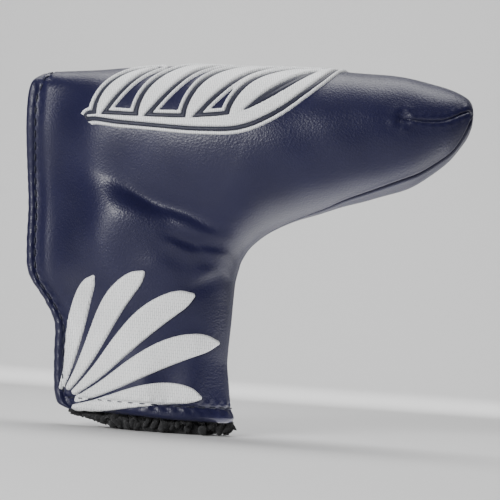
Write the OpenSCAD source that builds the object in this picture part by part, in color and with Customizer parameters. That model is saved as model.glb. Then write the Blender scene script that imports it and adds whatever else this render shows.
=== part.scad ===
// Blade putter head cover: a padded leather boot on a short neck, open along the heel side.
// +X runs to the toe, -Y is the embroidered front, +Z is up. The origin is the centre of the
// neck's mouth, on the plane of the fleece rim that the cover stands on.

/* [Overall] */
// Length from the heel edge to the tip of the toe
cover_length = 149; // [142:1:158]
// Height from the fleece rim to the crown
cover_height = 123; // [118:1:130]
// Half thickness of the front panel at its fullest
front_fullness = 24.5; // [23.5:0.5:27]
// Half thickness of the back panel at its fullest
back_fullness = 22.5; // [22:0.5:26]

/* [Walls] */
// Thickness of the leather
leather_t = 1.2; // [1:0.1:1.4]
// Thickness of the foam padding
foam_t = 3; // [2.5:0.5:3.5]
// Thickness of the fleece lining
fleece_t = 5; // [4.5:0.5:5]

/* [Closure] */
// Half thickness of the turned edge, outside to middle plane
lip_half = 2.15; // [2:0.05:2.4]
// Half gap between the two edges at the top of the heel
arch_gap = 4; // [3:0.5:5]
// Width of the hook and loop strips
strip_w = 6; // [5:0.1:6]
// Length of the hook and loop strips
strip_l = 19; // [15:1:19]
// Thickness of each strip
strip_t = 1.1; // [0.9:0.1:1.1]
// Gap between the flap and the boot along the fold
fold_gap = 0.3; // [0.3:0.1:0.6]

/* [Thread] */
// Radius of the sewing thread
thread_r = 0.4; // [0.3:0.05:0.5]
// Distance of the edge topstitch from the closure edge
edge_stitch_in = 3.2; // [2.5:0.1:4]
// Height of the hem topstitch above the hem
hem_stitch_up = 5; // [4:0.5:6]
// Height that the embroidery stands above the leather
embroidery_h = 0.9; // [0.6:0.1:1.2]

/* [Hidden] */

navy = "#2e3146";
navy_thread = "#1c1e30";
white_thread = "#e4e5e6";
foam_grey = "#9a9a96";
fleece_black = "#2c2c2c";

scale_x = cover_length / 149;
scale_z = cover_height / 123;
front_k = front_fullness / 24.5;
back_k = back_fullness / 24.5;

// Stations from the toe, round the heel corner, to the rim. Each is a section across the cover:
// outer x and z (crown, then closure edge), seam x and z, and half thickness.
stations = [
    [102.6, 111, 102.6, 111, 0],
    [101.5, 115.4, 102.1, 106.2, 6.5],
    [98, 117.8, 99.8, 101.1, 10],
    [91, 120.1, 94.1, 93.8, 14],
    [80, 122.2, 84.2, 86.2, 17.5],
    [64, 123, 70.2, 80.8, 20.5],
    [46, 123, 54.1, 75.1, 22.5],
    [26, 122.3, 40, 69.1, 24],
    [6, 121.7, 32, 63, 24.5],
    [-14, 119.8, 28.8, 58, 24.3],
    [-31, 117.8, 27.8, 54, 23.5],
    [-41.5, 116.4, 27.2, 50.5, 22.7],
    [-46, 111.5, 27, 48.5, 22],
    [-46.5, 100, 26.8, 45, 21.5],
    [-45.6, 85, 26.6, 41, 20.5],
    [-44.2, 71, 26.5, 37, 19.5],
    [-43.8, 58, 26.4, 33, 18.5],
    [-42.4, 48.5, 26.3, 29.5, 17.5],
    [-36.4, 40, 26.2, 25.5, 16.2],
    [-32.4, 32.5, 26.3, 22, 15.2],
    [-31.8, 23, 27, 17.5, 14.6],
    [-31, 12, 28, 11, 14.2],
    [-29.5, 6.3, 29, 6.5, 14],
    [-24.5, 3.5, 29.6, 3.5, 13.9],
    [-24.2, 0, 29.2, 0, 13.7]];

open_from = 11;    // the crown fold ends at this station and the closure edges begin
hem_at = 23;       // the leather ends at this station
around = 26;       // facets round a section
toe_rings = [0, 0.4, 0.8, 1.2, 1.6, 2, 2.5, 3, 3.6];
body_rings = [for (t = [4.3:0.8:9.9]) t];
corner_rings = [10.4, 11, 11.4, 11.8, 12.3, 13, 13.7];
neck_rings = [for (t = [14.5:0.85:21.3]) t];
hem_rings = [21.8, 22.4, 23];
leather_rings = concat(toe_rings, body_rings, corner_rings, neck_rings, hem_rings);
lining_rings = concat(leather_rings, [23.5, 24]);

stack = leather_t + foam_t + fleece_t;
foam_in = leather_t + foam_t;
edge_clear = 0.15;     // from the middle plane to the lining at the turned edge
strip_clear = 1.7;     // from the middle plane to the lining further in
middle_clear = 0.12;   // least distance of any skin from the middle plane below the crown
edge_flat = 3;         // width of the turned edge before the panel swells
edge_roll = 1.6;       // step up from the turned edge to the padded panel
edge_step = 4;         // width of that step
edge_swell = 20;       // width over which the panel swells
edge_squash = 10;      // width over which foam and fleece reach full thickness
arch_round = 6;        // roundness of the crown fold at its open end
arch_low = 78;         // height at which the two edges meet
arch_high = 104;
toe_shift = 0.235;     // stations that the inner skins start back from the toe, per mm of depth
toe_blend = 3.2;
toe_reach = 6;

function lerp(a, b, f) = a + (b - a) * f;
function smooth(f) = let (c = max(0, min(1, f))) c * c * (3 - 2 * c);
function spline(a, b, c, d, f) =
    0.5 * (2 * b + (c - a) * f + (2 * a - 5 * b + 4 * c - d) * f * f
        + (3 * b - a - 3 * c + d) * f * f * f);

function station(t) =
    let (n = len(stations) - 1, i = min(floor(t), n - 1))
    spline(stations[max(i - 1, 0)], stations[i], stations[i + 1], stations[min(i + 2, n)], t - i);

edge_table = [for (i = [hem_at:-1:open_from + 2]) [stations[i][1], stations[i][0]]];
function edge_x(z) = lookup(z, edge_table);
function lip(z) = lip_half + arch_gap * smooth((z - arch_low) / (arch_high - arch_low));
function roll(q) = q >= 1 ? 1 : sqrt(max(0, 1 - (1 - q) * (1 - q)));

// A point on the skin that lies depth below the outer surface. t is the station, and phi turns
// from the crown or closure edge (0) over the front to the seam (180) and over the back (360).
function skin(t, phi, depth) =
    let (back = phi > 180,
        turn = back ? 360 - phi : phi,
        tt = t + max(0, toe_shift * depth) * max(0, 1 - t / toe_reach),
        s = station(tt),
        outer = [s[0], s[1]],
        seam = [s[2], s[3]],
        width = norm(seam - outer),
        along = width > 0 ? (seam - outer) / width : [0, -1],
        f = (1 - cos(turn)) / 2,
        p = lerp(outer, seam, f),
        open = tt > open_from,
        top_z = open ? stations[open_from][1] : outer[1],
        drop = top_z - outer[1],
        inboard = p[0] - edge_x(p[1]),
        swell = smooth((inboard - edge_flat) / edge_swell),
        half = s[4] * (back ? back_k : front_k),
        edge = lip(p[1]) + edge_roll * smooth((inboard - edge_flat) / edge_step),
        rolled = roll((top_z - p[1]) / arch_round),
        outer_y = lerp(edge * rolled, half * sin(turn), swell),
        share = lerp(1, sin(turn), swell),
        clear = lerp(edge_clear, strip_clear, smooth((inboard - edge_flat) / 1.5)),
        free = lerp(lip_half - edge_clear, stack, smooth((inboard - edge_flat) / edge_squash)),
        held = min(free, max(leather_t * 1.3, (outer_y - clear) / share)),
        total = open ? lerp(free, held, smooth(drop / 6)) : free,
        d = depth <= leather_t ? depth
            : leather_t + (depth - leather_t) * (total - leather_t) / (stack - leather_t),
        inset = open ? d * (1 - smooth(drop / 10)) : d,
        q = lerp(outer + along * inset, seam - along * d, f),
        y_raw = lerp((edge - d) * rolled, (half - d) * sin(turn), swell),
        y_low = open ? middle_clear * min(1, drop) : 0,
        y = max(y_low * (turn > 179.9 ? 0 : 1), y_raw))
    [(q[0] - d * (1 - smooth(tt / toe_blend))) * scale_x, (back ? y : -y), q[1] * scale_z];

// Vertex number in a skin of rings. Ring 0 is a single point at the toe, and rings on the crown
// are closed, so their last point is their first.
function vertex(k, j, rings) =
    k == 0 ? 0 : 1 + (k - 1) * (around + 1) + (rings[k] <= open_from && j == around ? 0 : j);

function skin_points(rings, depth) =
    concat([skin(rings[0], 90, depth)],
        [for (k = [1:len(rings) - 1]) for (j = [0:around]) skin(rings[k], 360 * j / around, depth)]);

// One layer of the wall, between two depths, as a closed solid
module layer(rings, depth_out, depth_in) {
    last = len(rings) - 1;
    count = 1 + last * (around + 1);
    points = concat(skin_points(rings, depth_out), skin_points(rings, depth_in));
    outer_faces = [for (k = [0:last - 1]) for (j = [0:around - 1])
        each (k == 0
            ? [[0, vertex(1, j + 1, rings), vertex(1, j, rings)]]
            : [[vertex(k, j, rings), vertex(k, j + 1, rings), vertex(k + 1, j + 1, rings)],
               [vertex(k, j, rings), vertex(k + 1, j + 1, rings), vertex(k + 1, j, rings)]])];
    inner_faces = [for (f = outer_faces) [f[0] + count, f[2] + count, f[1] + count]];
    edges = concat(
        [for (k = [1:last - 1]) if (rings[k + 1] > open_from)
            [vertex(k + 1, 0, rings), vertex(k, 0, rings)]],
        [for (k = [1:last - 1]) if (rings[k + 1] > open_from)
            [vertex(k, around, rings), vertex(k + 1, around, rings)]],
        [for (j = [0:around - 1]) [vertex(last, j + 1, rings), vertex(last, j, rings)]]);
    rim_faces = [for (e = edges)
        each [[e[1], e[0], e[0] + count], [e[1], e[0] + count, e[1] + count]]];
    polyhedron(points, concat(outer_faces, inner_faces, rim_faces), convexity = 8);
}

// A sewn thread along a path. side is a direction that the path never runs in.
module thread(path, side, radius = thread_r) {
    last = len(path) - 1;
    sides = 6;
    points = [for (i = [0:last])
        let (ahead = path[min(i + 1, last)] - path[max(i - 1, 0)],
            across = cross(ahead, side),
            u = across / norm(across),
            up = cross(u, ahead),
            v = up / norm(up))
        for (j = [0:sides - 1]) path[i] + radius * (cos(360 * j / sides) * u + sin(360 * j / sides) * v)];
    wall = [for (i = [0:last - 1]) for (j = [0:sides - 1])
        let (a = i * sides + j, b = i * sides + (j + 1) % sides) [a, b, b + sides, a + sides]];
    start_cap = [for (j = [sides - 1:-1:0]) j];
    end_cap = [for (j = [0:sides - 1]) last * sides + j];
    polyhedron(points, concat(wall, [start_cap, end_cap]), convexity = 6);
}

// A point that stands just clear of the leather, for a thread to run through
thread_out = thread_r + 0.18;
function on_skin(t, phi, out = thread_out) =
    let (p = skin(t, phi, 0),
        by_t = skin(t + 0.02, phi, 0) - skin(t - 0.02, phi, 0),
        by_phi = skin(t, phi + 0.5, 0) - skin(t, phi - 0.5, 0),
        n = cross(by_phi, by_t))
    p - out * n / norm(n);

// The turn at which a point lies a given distance inside the closure edge
function turn_at(t, distance) =
    let (s = station(t)) acos(1 - 2 * distance / norm([s[2] - s[0], s[3] - s[1]]));

// The half plane on the flap's side of the fold line
fold_top = [-46, 96.5];
fold_low = [14, 0];
fold_along = (fold_low - fold_top) / norm(fold_low - fold_top);
fold_out = [fold_along[1], -fold_along[0]];
module flap_side(offset) {
    reach = 60;
    start = fold_top - fold_along * reach + fold_out * offset;
    end = fold_low + fold_along * reach + fold_out * offset;
    scale([scale_x, 1, scale_z])
        translate([0, reach, 0]) rotate([90, 0, 0]) linear_extrude(reach)
            polygon([start, end, end + fold_out * cover_length, start + fold_out * cover_length]);
}
module boot_part() { difference() { children(); flap_side(-fold_gap / 2); } }
module flap_part() { intersection() { children(); flap_side(fold_gap / 2); } }

module boot_leather() { color(navy) boot_part() layer(leather_rings, 0, leather_t); }
module boot_foam() { color(foam_grey) boot_part() layer(leather_rings, leather_t, foam_in); }
module boot_lining() { color(fleece_black) boot_part() layer(lining_rings, foam_in, stack); }
module flap_leather() { color(navy) flap_part() layer(leather_rings, 0, leather_t); }
module flap_foam() { color(foam_grey) flap_part() layer(leather_rings, leather_t, foam_in); }
module flap_lining() { color(fleece_black) flap_part() layer(lining_rings, foam_in, stack); }

// Seam and darts. Each point is a station and a turn.
seam_route = concat([[1.15, 72], [0.7, 98], [0.95, 112], [1.3, 121], [1.8, 135], [2.2, 144], [2.6, 149],
    [3, 150.5], [3.5, 150], [4.2, 149], [4.6, 151.5], [5, 155], [5.5, 160], [5.9, 167], [6.8, 174],
    [7.6, 178]], [for (t = [8.5:0.8:21.3]) [t, 180]]);
module seam_thread() {
    color(navy_thread) thread([for (q = seam_route) on_skin(q[0], q[1])], [0, 1, 0]);
}
dart_route = [[1.4, 79], [2, 82.4], [2.5, 86], [2.9, 87.8], [3.2, 87.6], [3.6, 85], [4.1, 81]];
module front_dart_thread() {
    color(navy_thread) thread([for (q = dart_route) on_skin(q[0], q[1])], [0, 0, 1]);
}
module back_dart_thread() {
    color(navy_thread) thread([for (q = dart_route) on_skin(q[0], 360 - q[1])], [0, 0, 1]);
}

// Topstitch along the closure edge: up the front, over the end of the crown, down the back
edge_out = thread_out + 0.3;
front_edge_route = [for (t = [21.3:-0.7:11.6]) on_skin(t, turn_at(t, edge_stitch_in), edge_out)];
back_edge_route = [for (t = [11.6:0.53:13.2]) on_skin(t, 360 - turn_at(t, edge_stitch_in), edge_out)];
over_crown = [for (a = [[11.25, 18], [10.95, 14], [10.8, 7], [10.75, 0.5], [10.8, 353], [10.95, 346],
    [11.25, 342]]) on_skin(a[0], a[1], edge_out)];
module edge_topstitch() {
    color(navy_thread) thread(concat(front_edge_route, over_crown, back_edge_route), [1, 0, 0.35]);
}
module flap_edge_topstitch() {
    color(navy_thread)
        thread([for (t = [13.8:0.75:21.3]) on_skin(t, 360 - turn_at(t, edge_stitch_in))], [0, 1, 0]);
}
hem_stitch_at = hem_at - hem_stitch_up / 3.6;    // stations lie 3.6 mm apart there
hem_route = [for (p = [24:9.25:247]) on_skin(hem_stitch_at, p)];
module hem_topstitch() { color(navy_thread) thread(hem_route, [0, 0, 1]); }
module flap_hem_topstitch() {
    color(navy_thread) thread([for (p = [253:8.2:336]) on_skin(hem_stitch_at, p)], [0, 0, 1]);
}

// Hook and loop strips: a woven tape with a raised field, sewn down along its selvedge
strip_x = -37;
strip_z = 52;
strip_gap = 0.2;    // from each strip's face to the middle plane
tape_t = 0.5;
selvedge = 1.1;
module tape_plan(inset) { offset(delta = -inset) square([strip_w, strip_l]); }
module strip() {
    linear_extrude(tape_t) tape_plan(0);
    translate([0, 0, tape_t]) linear_extrude(strip_t - tape_t) tape_plan(selvedge);
}
seam_r = 0.2;
module strip_seam() {
    translate([0, 0, tape_t]) linear_extrude(2 * seam_r) difference() {
        tape_plan(selvedge / 2 - seam_r);
        tape_plan(selvedge / 2 + seam_r);
    }
}
// Lays a strip on the lining, its face towards the middle plane
module on_front_lining() {
    translate([strip_x * scale_x, -strip_t - strip_gap, strip_z * scale_z])
        mirror([0, 1, 0]) rotate([90, 0, 0]) children();
}
module on_back_lining() {
    translate([strip_x * scale_x, strip_t + strip_gap, strip_z * scale_z]) rotate([90, 0, 0]) children();
}
module hook_strip() { color("#1f1f22") on_front_lining() strip(); }
module loop_strip() { color("#26262a") on_back_lining() strip(); }
module hook_strip_stitching() { color(navy_thread) on_front_lining() strip_seam(); }
module loop_strip_stitching() { color(navy_thread) on_back_lining() strip_seam(); }

// Embroidery stands on the front panel: a patch of skin between two sections, cut to a
// design drawn on the XZ plane. Its facets are the shell's own, so it lies flat on the leather.
module patch(t_from, t_to, turn_from, turn_to, height) {
    rings = [for (t = leather_rings) if (t >= t_from && t <= t_to) t];
    turns = [for (j = [0:around]) let (a = 360 * j / around) if (a >= turn_from && a <= turn_to) a];
    rows = len(rings);
    cols = len(turns);
    points = [for (depth = [-0.05 - height, -0.05]) for (t = rings) for (a = turns) skin(t, a, depth)];
    top = [for (k = [0:rows - 2]) for (j = [0:cols - 2]) let (a = k * cols + j)
        each [[a, a + 1, a + cols + 1], [a, a + cols + 1, a + cols]]];
    base = rows * cols;
    edge = concat([for (j = [0:cols - 2]) [j + 1, j]], [for (k = [0:rows - 2]) [k * cols, (k + 1) * cols]],
        [for (j = [0:cols - 2]) [(rows - 1) * cols + j, (rows - 1) * cols + j + 1]],
        [for (k = [0:rows - 2]) [(k + 1) * cols + cols - 1, k * cols + cols - 1]]);
    polyhedron(points, concat(top, [for (f = top) [f[0] + base, f[2] + base, f[1] + base]],
        [for (e = edge) each [[e[0], e[1], e[1] + base], [e[0], e[1] + base, e[0] + base]]]), convexity = 6);
}
module sewn_on_front() {
    intersection() {
        children(0);
        scale([scale_x, 1, scale_z]) rotate([90, 0, 0]) linear_extrude(2 * front_fullness) children(1);
    }
}

// Crown design: leaves on a long tapering stem, drawn on the unrolled panel as x and distance
// down from the crown. A leaf is its foot, length, slant and half width.
leaves = [[-20.5, 31, 30, 67, 2.3], [-6.5, 33.8, 41, 63, 2.9], [9, 35, 46, 60, 3.1], [23, 34, 43, 55, 3]];
leaf_bend = 26;
stem = [[-24, 29.5, 0.4], [-12, 33, 1], [3, 34.8, 1.4], [15, 35, 1.8], [25, 33.5, 2.2], [34, 28.8, 2.4],
    [42, 22, 2.3], [49.5, 13.5, 1.9], [54.5, 4, 1.2]];
crown_top = 122.5;
crown_depth = 30;    // height of the rounded shoulder
crown_arc = 27.4;    // distance along it for each radian
function unrolled(p) =
    [p[0], crown_top - crown_depth * (1 - cos(max(0, p[1]) / crown_arc * 180 / PI))];
module leaf(c) {
    steps = 12;
    function middle(q) =
        let (a = c[3] + leaf_bend * (0.5 - q)) [c[0] + q * c[2] * cos(a), c[1] - q * c[2] * sin(a)];
    function half_w(q) = c[4] * pow(max(0, sin(180 * pow(q, 0.8))), 0.85) + 0.15;
    function side(q, e) = unrolled(middle(q) + e * half_w(q) * [sin(c[3]), cos(c[3])]);
    polygon(concat([for (k = [0:steps]) side(k / steps, 1)], [for (k = [steps:-1:0]) side(k / steps, -1)]));
}
module stem_shape() {
    n = len(stem) - 1;
    function slope(i) =
        let (d = [for (k = [0, 1]) stem[min(i + 1, n)][k] - stem[max(i - 1, 0)][k]]) d / norm(d);
    function side(i, e) = unrolled([stem[i][0], stem[i][1]] + e * stem[i][2] * [-slope(i)[1], slope(i)[0]]);
    polygon(concat([for (i = [0:n]) side(i, 1)], [for (i = [n:-1:0]) side(i, -1)]));
}
module crown_design() {
    stem_shape();
    for (c = leaves) leaf(c);
}
module crown_patch(height) { patch(4, 10.5, 10, 85, height); }
ground_w = 1.6;
outline_w = 1.25;
module grown(width) { offset(r = width, $fn = 20) children(); }
module crown_fill() {
    color(white_thread) sewn_on_front() { crown_patch(embroidery_h); crown_design(); }
}
module crown_ground() {
    color(navy_thread) sewn_on_front() {
        crown_patch(embroidery_h / 2);
        difference() { grown(ground_w) crown_design(); crown_design(); }
    }
}
module crown_outline() {
    color(white_thread) sewn_on_front() {
        crown_patch(embroidery_h);
        difference() {
            grown(ground_w + outline_w) crown_design();
            grown(ground_w) crown_design();
        }
    }
}

// Neck design: a fan of curved blades from the hem corner
blade_base = [-29, 7.5];
blades = 5;
blade_bend = 11;
blade_start = 0.16;     // each blade starts at this share of its length
blade_width = 0.12;    // half width at the tip's foot, as a share of the length
module blade(i) {
    angle = 2 + 17.5 * i;
    length = [48, 57, 58, 52, 43][i];
    steps = 9;
    function centre(q) =
        let (a = angle + blade_bend * sin(130 * q)) blade_base + length * q * [cos(a), sin(a)];
    function half_w(q) = blade_width * length * q * sqrt(1 - pow(q, 4));
    function side(q, e) = centre(q) + e * half_w(q) * [-sin(angle), cos(angle)];
    function place(k) = lerp(blade_start, 1, k / steps);
    polygon(concat([for (k = [0:steps]) side(place(k), 1)],
        [for (k = [steps - 1:-1:0]) side(place(k), -1)]));
}
module emblem_design() {
    for (i = [0:blades - 1]) blade(i);
}
module neck_emblem() {
    groove_r = thread_r + 0.15;     // the topstitch lies in a groove in the embroidery
    color(white_thread) difference() {
        sewn_on_front() { patch(13, 22.9, 5, 170, embroidery_h); emblem_design(); }
        thread(front_edge_route, [1, 0, 0.35], groove_r);
        thread(hem_route, [0, 0, 1], groove_r);
    }
}

boot_leather();
boot_foam();
boot_lining();
crown_outline();
crown_ground();
crown_fill();
neck_emblem();
seam_thread();
front_dart_thread();
back_dart_thread();
edge_topstitch();
hem_topstitch();
hook_strip();
hook_strip_stitching();
flap_leather();
flap_foam();
flap_lining();
flap_edge_topstitch();
flap_hem_topstitch();
loop_strip();
loop_strip_stitching();
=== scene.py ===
# Putter head cover: a padded navy leather boot on a short neck, white satin embroidery, black pile lining.
import math
import bpy
import numpy as np
from mathutils import Matrix, Vector


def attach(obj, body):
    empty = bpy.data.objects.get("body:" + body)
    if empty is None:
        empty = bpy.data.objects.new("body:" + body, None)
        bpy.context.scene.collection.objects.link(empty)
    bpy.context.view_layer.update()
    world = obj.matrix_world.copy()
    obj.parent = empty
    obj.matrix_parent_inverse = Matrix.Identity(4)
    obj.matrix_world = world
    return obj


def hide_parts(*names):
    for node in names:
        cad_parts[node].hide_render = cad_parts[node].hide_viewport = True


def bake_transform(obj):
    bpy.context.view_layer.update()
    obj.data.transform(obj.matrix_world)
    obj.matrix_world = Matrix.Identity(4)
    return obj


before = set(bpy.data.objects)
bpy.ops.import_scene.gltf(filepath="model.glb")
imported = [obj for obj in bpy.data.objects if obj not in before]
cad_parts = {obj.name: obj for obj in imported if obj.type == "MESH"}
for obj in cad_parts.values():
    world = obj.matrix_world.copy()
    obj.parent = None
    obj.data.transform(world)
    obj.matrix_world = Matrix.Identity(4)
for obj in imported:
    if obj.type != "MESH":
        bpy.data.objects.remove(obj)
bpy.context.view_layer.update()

mm = 0.001

# The cover's shape, in millimetres. A station is a section across the cover: outer x and z
# (crown, then closure edge), seam x and z, and half thickness, from the toe to the fleece rim.
cover = {
    "stations": [
        [102.6, 111, 102.6, 111, 0], [101.5, 115.4, 102.1, 106.2, 6.5], [98, 117.8, 99.8, 101.1, 10],
        [91, 120.1, 94.1, 93.8, 14], [80, 122.2, 84.2, 86.2, 17.5], [64, 123, 70.2, 80.8, 20.5],
        [46, 123, 54.1, 75.1, 22.5], [26, 122.3, 40, 69.1, 24], [6, 121.7, 32, 63, 24.5],
        [-14, 119.8, 28.8, 58, 24.3], [-31, 117.8, 27.8, 54, 23.5], [-41.5, 116.4, 27.2, 50.5, 22.7],
        [-46, 111.5, 27, 48.5, 22], [-46.5, 100, 26.8, 45, 21.5], [-45.6, 85, 26.6, 41, 20.5],
        [-44.2, 71, 26.5, 37, 19.5], [-43.8, 58, 26.4, 33, 18.5], [-42.4, 48.5, 26.3, 29.5, 17.5],
        [-36.4, 40, 26.2, 25.5, 16.2], [-32.4, 32.5, 26.3, 22, 15.2], [-31.8, 23, 27, 17.5, 14.6],
        [-31, 12, 28, 11, 14.2], [-29.5, 6.3, 29, 6.5, 14], [-24.5, 3.5, 29.6, 3.5, 13.9],
        [-24.2, 0, 29.2, 0, 13.7]],
    "openFrom": 11,         # the crown fold ends here and the closure edges begin
    "hemAt": 23,
    "backFullness": 22.5 / 24.5,
    "leather": 1.2, "foam": 3.0, "fleece": 5.0,
    "lipHalf": 2.15, "archGap": 4.0, "archLow": 78.0, "archHigh": 104.0, "archRound": 6.0,
    "edgeClear": 0.15, "insideClear": 1.7, "edgeFlat": 3.0, "edgeRoll": 1.6,
    "edgeSwell": 32.0, "edgeSquash": 10.0, "rollReach": 4, "clearReach": 1.5, "lipsApart": 0.12,
    "thinOver": 6, "insetOver": 10, "foldFade": 6,
    "toeShift": 0.235, "toeBlend": 3.2, "toeReach": 6.0,
}
stations = np.array(cover["stations"], float)
stack, openFrom = cover["leather"] + cover["foam"] + cover["fleece"], cover["openFrom"]
# the sections carry on past the toe as a mirror image, so the toe comes out round
pastToe = stations[1] * [1, -1, 1, -1, -1] + stations[0] * [0, 2, 0, 2, 0]
sections = np.vstack([pastToe, stations, stations[-1]])


def ease(f):
    c = np.clip(f, 0, 1)
    return c * c * (3 - 2 * c)


def between(a, b, f):
    return a + (b - a) * f


def curve(rows, t):
    # a smooth curve that passes through the rows: t counts them
    i = np.clip(np.floor(t).astype(int), 0, len(rows) - 4)
    f = (t - i)[..., None]
    a, b, c, d = rows[i], rows[i + 1], rows[i + 2], rows[i + 3]
    return 0.5 * (2 * b + (c - a) * f + (2 * a - 5 * b + 4 * c - d) * f ** 2
                  + (3 * b - a - 3 * c + d) * f ** 3)


def throughPoints(points, count):
    # a smooth line through points, evenly spaced
    rows = np.array(points, float)
    rows = np.vstack([2 * rows[0] - rows[1], rows, 2 * rows[-1] - rows[-2]])
    fine = curve(rows, np.linspace(0, len(points) - 1, 24 * len(points)))
    run = np.concatenate([[0], np.cumsum(np.linalg.norm(np.diff(fine, axis=0), axis=1))])
    even = np.linspace(0, run[-1], count)
    return np.stack([np.interp(even, run, fine[:, k]) for k in range(fine.shape[1])], 1)


edgeLine = curve(sections, np.linspace(13, cover["hemAt"], 400))[::-1]


def edgeX(z):
    # where the closure edge lies at a height
    return np.interp(z, edgeLine[:, 1], edgeLine[:, 0])


def nearLine(points, line, reach, chunk=20000):
    # distance from points to a line, how far along it the nearest place is, and the side, within reach
    step = np.diff(line, axis=0)
    length = np.linalg.norm(step, axis=1)
    run = np.concatenate([[0], np.cumsum(length)])
    shape = points.shape[:-1]
    everyPoint = points.reshape(-1, points.shape[-1])
    inside = ((everyPoint > line.min(0) - reach) & (everyPoint < line.max(0) + reach)).all(1)
    found = np.flatnonzero(inside)
    away, place, side = np.full(len(everyPoint), 1e3), np.zeros(len(everyPoint)), np.zeros(len(everyPoint))
    for k in range(0, len(found), chunk):
        pick = found[k:k + chunk]
        part = everyPoint[pick]
        best = (((part[:, None, :] - line[None]) ** 2).sum(2)).argmin(1)
        for shift in (-1, 0):
            i = np.clip(best + shift, 0, len(step) - 1)
            offset = part - line[i]
            share = np.clip((offset * step[i]).sum(1) / (length[i] ** 2), 0, 1)
            gap = offset - share[:, None] * step[i]
            size = np.linalg.norm(gap, axis=1)
            nearer = size < away[pick]
            rows = pick[nearer]
            away[rows] = size[nearer]
            place[rows] = (run[i] + share * length[i])[nearer]
            if line.shape[1] == 2:
                side[rows] = np.sign(step[i, 0] * gap[:, 1] - step[i, 1] * gap[:, 0])[nearer]
    return away.reshape(shape), place.reshape(shape), side.reshape(shape), run[-1]


# Soft folds in the panels, where the pocket drags against the neck. Each has its line on the XZ
# plane, its height (below 0 is a valley), and its width above and below the line.
folds = {
    "front": [
        {"line": [(-32, 93), (-22, 86), (-12, 80.5), (-1, 75.5), (11, 72.6), (20, 69), (31, 66)],
         "height": -3.9, "above": 16, "below": 6.5, "fade": 27},
        {"line": [(-15, 81), (-1, 74), (11, 71.2), (19.5, 67.4), (31, 64.5)],
         "height": -0.8, "above": 3.6, "below": 2.2, "fade": 16},
        {"line": [(-16, 76), (-6, 71.8), (4.9, 69), (17, 65), (29, 62)],
         "height": 1.0, "above": 3, "below": 4.6, "fade": 14},
        {"line": [(1, 64.5), (12, 62), (29, 61)], "height": -0.9, "above": 2.4, "below": 1.6, "fade": 10},
        {"line": [(3, 61), (11.2, 59), (19, 58.4), (29, 58.2)],
         "height": 0.8, "above": 1.6, "below": 2.6, "fade": 10},
        {"line": [(11, 48), (17.5, 52), (26.5, 57.2)], "height": 0.9, "above": 2.6, "below": 2.2, "fade": 9},
        {"line": [(10, 45), (17, 48.5), (26, 52.5)], "height": -0.8, "above": 2.0, "below": 3.0, "fade": 9},
        {"line": [(-17, 84), (-18.5, 70), (-18.5, 56), (-15, 42)],
         "height": 2.0, "above": 12, "below": 10, "fade": 21},
        {"line": [(-8, 52), (4, 53), (14, 49)], "height": 0.7, "above": 4, "below": 4, "fade": 10},
        {"line": [(9, 3), (8, 14), (8, 27)], "height": -0.8, "above": 4, "below": 4, "fade": 10},
        {"line": [(17, 3), (17, 18), (15, 36)], "height": 0.9, "above": 4, "below": 4, "fade": 10},
        {"line": [(2, 3), (0, 13), (-3, 24)], "height": 0.6, "above": 4, "below": 4, "fade": 10},
    ],
    "back": [
        {"line": [(-22, 85), (-8, 78), (6, 73), (17, 68), (29, 64)],
         "height": -2.4, "above": 14, "below": 6, "fade": 18},
        {"line": [(-14, 72), (6, 65), (29, 60.5)], "height": 0.9, "above": 3.4, "below": 4, "fade": 13},
        {"line": [(0, 61), (14, 58), (28, 56)], "height": -0.7, "above": 2.4, "below": 2.4, "fade": 10},
        {"line": [(-18, 88), (-20, 70), (-19, 46)], "height": 1.4, "above": 12, "below": 11, "fade": 20},
        {"line": [(8, 4), (6, 16), (7, 30)], "height": -0.7, "above": 4, "below": 4, "fade": 10},
    ],
}
for side in folds.values():
    for fold in side:
        fold["points"] = throughPoints(fold["line"], 40)


def foldAt(x, z, side):
    # how far the folds of one side push the skin out at a place on the XZ plane
    place = np.stack([x, z], -1)
    total = np.zeros(x.shape)
    for fold in folds[side]:
        away, run, hand, length = nearLine(place, fold["points"], 2.6 * max(fold["above"], fold["below"]))
        width = np.where(hand > 0, fold["above"], fold["below"])
        fade = ease(run / fold["fade"]) * ease((length - run) / fold["fade"])
        total += fold["height"] * np.exp(-(away / width) ** 2) * fade
    return total


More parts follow.
